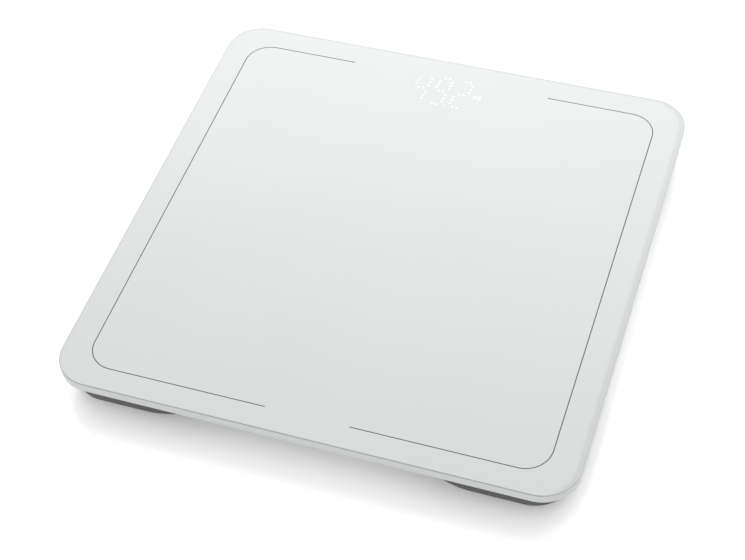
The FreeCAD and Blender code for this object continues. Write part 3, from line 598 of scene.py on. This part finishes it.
LIT = lit_dot()
figures = new_piece("readout_figures", make_figures, [LIT])
sign = new_piece("unit_sign", make_sign, [LIT], smooth=False)

# ---------------------------------------------------------------- under the tray

PANEL_CENTRE = (0, -35.0 * MM)
LABEL_SIZE = (144 * MM, 34 * MM)
LABEL_CORNER_R = 4 * MM
LABEL_TOP = 5.5 * MM
LABEL_THICKNESS = 0.12 * MM
LABEL_FRAME_INSET = 2.5 * MM
LABEL_FRAME_WIDTH = 0.5 * MM
LABEL_FRAME_R = 2 * MM
LABEL_CORNER_STEPS = 8
ARROW_AT = (0, 50.0 * MM)
ARROW_RISE = 0.3 * MM
ARROW_ROOT = 0.05 * MM
TRAY_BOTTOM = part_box("base_shell")[0].z


def label_foil():
    """Brushed silver foil, left blank."""
    look = Look("label_foil", IOR=1.5, Metallic=0.7)
    streaks = look.noise(0.6 * MM, 4, stretch=(0.05, 1, 1))
    look.feed("Base Color", look.ramp(streaks, (0.56, 0.57, 0.57), (0.66, 0.67, 0.67)))
    look.feed("Roughness", look.span(streaks, 0.32, 0.45))
    look.feed("Normal", look.bump(streaks, 0.004 * MM))
    return look.material


def shifted(points, centre):
    """The points moved so that the origin falls on centre."""
    return [(x + centre[0], y + centre[1]) for x, y in points]


def make_label(bm):
    """A thin sheet with a fine rounded edge, in the recess of the tray."""
    half_x, half_y = (size / 2 for size in LABEL_SIZE)
    soft = LABEL_THICKNESS / 2
    rings = []
    for inset, drop in ((0, 0), (0, soft), (soft, LABEL_THICKNESS)):
        outline = rounded_square(
            half_x - inset, half_y - inset, LABEL_CORNER_R - inset, LABEL_CORNER_STEPS
        )
        rings.append(ring_of(bm, shifted(outline, PANEL_CENTRE), LABEL_TOP - drop))
    for lower, upper in zip(rings, rings[1:]):
        bridge(bm, lower, upper)
    bm.faces.new(rings[0])
    bm.faces.new(rings[-1])


def make_label_frame(bm):
    """A printed border just inside the label's edge."""
    outer_x, outer_y = (size / 2 - LABEL_FRAME_INSET for size in LABEL_SIZE)
    z = LABEL_TOP - LABEL_THICKNESS
    loops = []
    for inset, drop in ((0, 0), (0, 1), (LABEL_FRAME_WIDTH, 1), (LABEL_FRAME_WIDTH, 0)):
        outline = rounded_square(
            outer_x - inset, outer_y - inset, LABEL_FRAME_R - inset, LABEL_CORNER_STEPS
        )
        loops.append(ring_of(bm, shifted(outline, PANEL_CENTRE), z - drop * LINE_LIFT))
    for lower, upper in zip(loops, loops[1:] + loops[:1]):
        bridge(bm, lower, upper)


def make_arrow(bm):
    """A raised arrow on the battery door, towards the end that opens."""
    half_shaft, half_head, shaft, head = 1.1 * MM, 2.8 * MM, 5 * MM, 4 * MM
    left = [(-half_shaft, shaft), (-half_shaft, 0), (-half_head, 0)]
    outline = left + [(0, -head)] + [(-x, y) for x, y in reversed(left)]
    rings = []
    for shrink, drop in ((1.0, -ARROW_ROOT), (1.0, 0.6 * ARROW_RISE), (0.9, ARROW_RISE)):
        points = [(x * shrink, y * shrink) for x, y in outline]
        rings.append(ring_of(bm, shifted(points, ARROW_AT), TRAY_BOTTOM - drop))
    for lower, upper in zip(rings, rings[1:]):
        bridge(bm, lower, upper)
    bm.faces.new(rings[0])
    bm.faces.new(rings[-1])


label = new_piece("blank_label", make_label, [label_foil()], smooth=False)
label_frame = new_piece("label_frame", make_label_frame, [INK], smooth=False)

# ---------------------------------------------------------------- looks of the CAD nodes

GREY_PLASTIC = plastic("grey_plastic", (0.072, 0.075, 0.072))
BLACK_PLASTIC = plastic("black_plastic", (0.022, 0.022, 0.023), roughness=(0.4, 0.5))
SEAT_PLASTIC = plastic("seat_plastic", (0.045, 0.045, 0.047))
FOOT_PLASTIC = plastic("foot_plastic", (0.055, 0.055, 0.054), roughness=(0.45, 0.55))
BUTTON_PLASTIC = plastic("button_plastic", (0.34, 0.35, 0.35), roughness=(0.35, 0.45))
ENAMEL = white_enamel()
FILM = plastic("diffuser_film", (0.82, 0.84, 0.84), relief=0.005 * MM, roughness=(0.55, 0.65))
FOAM = foam_tape()
RUBBER = foot_rubber()
STEEL = metal("cell_steel", (0.56, 0.56, 0.55), stretch=(0.08, 1, 1))
ZINC = metal("zinc_screw", (0.62, 0.62, 0.60), roughness=(0.28, 0.4))
NICKEL = metal("plated_contact", (0.72, 0.71, 0.68), roughness=(0.18, 0.3))
PHOSPHOR = plastic("lamp_phosphor", (0.85, 0.82, 0.55), relief=0.005 * MM, roughness=(0.3, 0.4))
RESIN = plastic("chip_resin", (0.02, 0.02, 0.022), grain=0.15 * MM, relief=0.008 * MM)
WRAP_RIGHT = battery_wrap("battery_wrap_right", 1)
LEAD_TONES = [(0.5, 0.03, 0.03), (0.02, 0.02, 0.02), (0.75, 0.75, 0.72), (0.05, 0.25, 0.08)]

NODE_LOOKS = {
    "back_print": ENAMEL,
    "display_diffuser": FILM,
    "rim_tape": FOAM,
    "seat_tape": FOAM,
    "base_shell": GREY_PLASTIC,
    "battery_door": GREY_PLASTIC,
    "light_mask": BLACK_PLASTIC,
    "unit_switch": BLACK_PLASTIC,
    "switch_plunger": BLACK_PLASTIC,
    "unit_button": BUTTON_PLASTIC,
    "cell_seat": SEAT_PLASTIC,
    "foot_cup": FOOT_PLASTIC,
    "foot_pad": RUBBER,
    "load_cell": STEEL,
    "strain_gauge": silicone(),
    "cell_screws": ZINC,
    "board_screws": ZINC,
    "battery_plates": NICKEL,
    "battery_springs": NICKEL,
    "display_lamps": PHOSPHOR,
    "main_board": circuit_board(),
    "controller_chip": RESIN,
    "board_parts": chip_parts(),
    "cell_leads": wire_cover(LEAD_TONES),
    "battery_leads": wire_cover(LEAD_TONES[:2]),
    "battery_1": WRAP_RIGHT,
    "battery_2": battery_wrap("battery_wrap_left", -1),
    "battery_3": WRAP_RIGHT,
}
CORNER_NAMES = ("front_left", "front_right", "rear_left", "rear_right")

for family, look_of_family in NODE_LOOKS.items():
    for node_name in [family] + [f"{family}_{corner}" for corner in CORNER_NAMES]:
        if node_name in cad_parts:
            dress(node_name, look_of_family)

arrow = new_piece("door_arrow", make_arrow, [GREY_PLASTIC], body="battery_door", smooth=False)

# ---------------------------------------------------------------- floor, light and camera

CAMERA_TARGET = Vector((3.68, -35.47, 25.0)) * MM
CAMERA_AZIMUTH = math.radians(22.37)
CAMERA_ELEVATION = math.radians(50.36)
CAMERA_DISTANCE = 0.978
CAMERA_ROLL = math.radians(5.24)
CAMERA_LENS = 82.43
SENSOR_WIDTH = 36
FLOOR_HALF = 6.0
FLOOR_GLOW = 0.14
WORLD_LIGHT = 1.12
SOFTBOX_PLACE = (-0.06, 0.5, 0.5)
SOFTBOX_AIM = (-0.02, 0.1, 0)
SOFTBOX_SIZE = (1.2, 0.5)
SOFTBOX_POWER = 6.6


def add_camera():
    """At the photograph's viewing angle."""
    data = bpy.data.cameras.new("camera")
    data.sensor_width = SENSOR_WIDTH
    data.lens = CAMERA_LENS
    camera = bpy.data.objects.new("camera", data)
    bpy.context.scene.collection.objects.link(camera)
    level = math.cos(CAMERA_ELEVATION)
    back = Vector((
        math.sin(CAMERA_AZIMUTH) * level,
        -math.cos(CAMERA_AZIMUTH) * level,
        math.sin(CAMERA_ELEVATION),
    ))
    camera.location = CAMERA_TARGET + back * CAMERA_DISTANCE
    facing = (-back).to_track_quat("-Z", "Y").to_matrix().to_4x4()
    camera.rotation_euler = (facing @ Matrix.Rotation(-CAMERA_ROLL, 4, "Z")).to_euler()
    bpy.context.scene.camera = camera


def add_floor():
    """A plain white floor with a faint gloss."""
    bm = bmesh.new()
    bmesh.ops.create_grid(bm, x_segments=8, y_segments=8, size=FLOOR_HALF)
    mesh = bpy.data.meshes.new("floor")
    bm.to_mesh(mesh)
    bm.free()
    floor = bpy.data.objects.new("floor", mesh)
    bpy.context.scene.collection.objects.link(floor)
    look = Look("floor_white", IOR=1.9, Emission_Strength=FLOOR_GLOW)
    look.shader.inputs["Emission Color"].default_value = (1, 1, 1, 1)
    look.feed("Base Color", look.ramp(look.noise(0.5, 2), (0.89, 0.89, 0.89), (0.91, 0.91, 0.91)))
    look.feed("Roughness", look.span(look.noise(0.2, 3), 0.02, 0.04))
    mesh.materials.append(look.material)


def add_softbox():
    """A wide soft light behind the scale, kept out of reflections."""
    data = bpy.data.lights.new("rear_softbox", "AREA")
    data.shape = "RECTANGLE"
    data.size, data.size_y = SOFTBOX_SIZE
    data.energy = SOFTBOX_POWER
    light = bpy.data.objects.new("rear_softbox", data)
    bpy.context.scene.collection.objects.link(light)
    light.location = SOFTBOX_PLACE
    light.visible_glossy = False
    light.rotation_euler = (Vector(SOFTBOX_AIM) - Vector(SOFTBOX_PLACE)).to_track_quat("-Z", "Y").to_euler()


def add_world():
    """Even white light from all round."""
    world = bpy.data.worlds.new("studio")
    world.use_nodes = True
    background = world.node_tree.nodes["Background"]
    background.inputs["Color"].default_value = (1, 1, 1, 1)
    background.inputs["Strength"].default_value = WORLD_LIGHT
    bpy.context.scene.world = world


add_camera()
add_floor()
add_world()
add_softbox()
bpy.context.scene.view_settings.view_transform = "Standard"
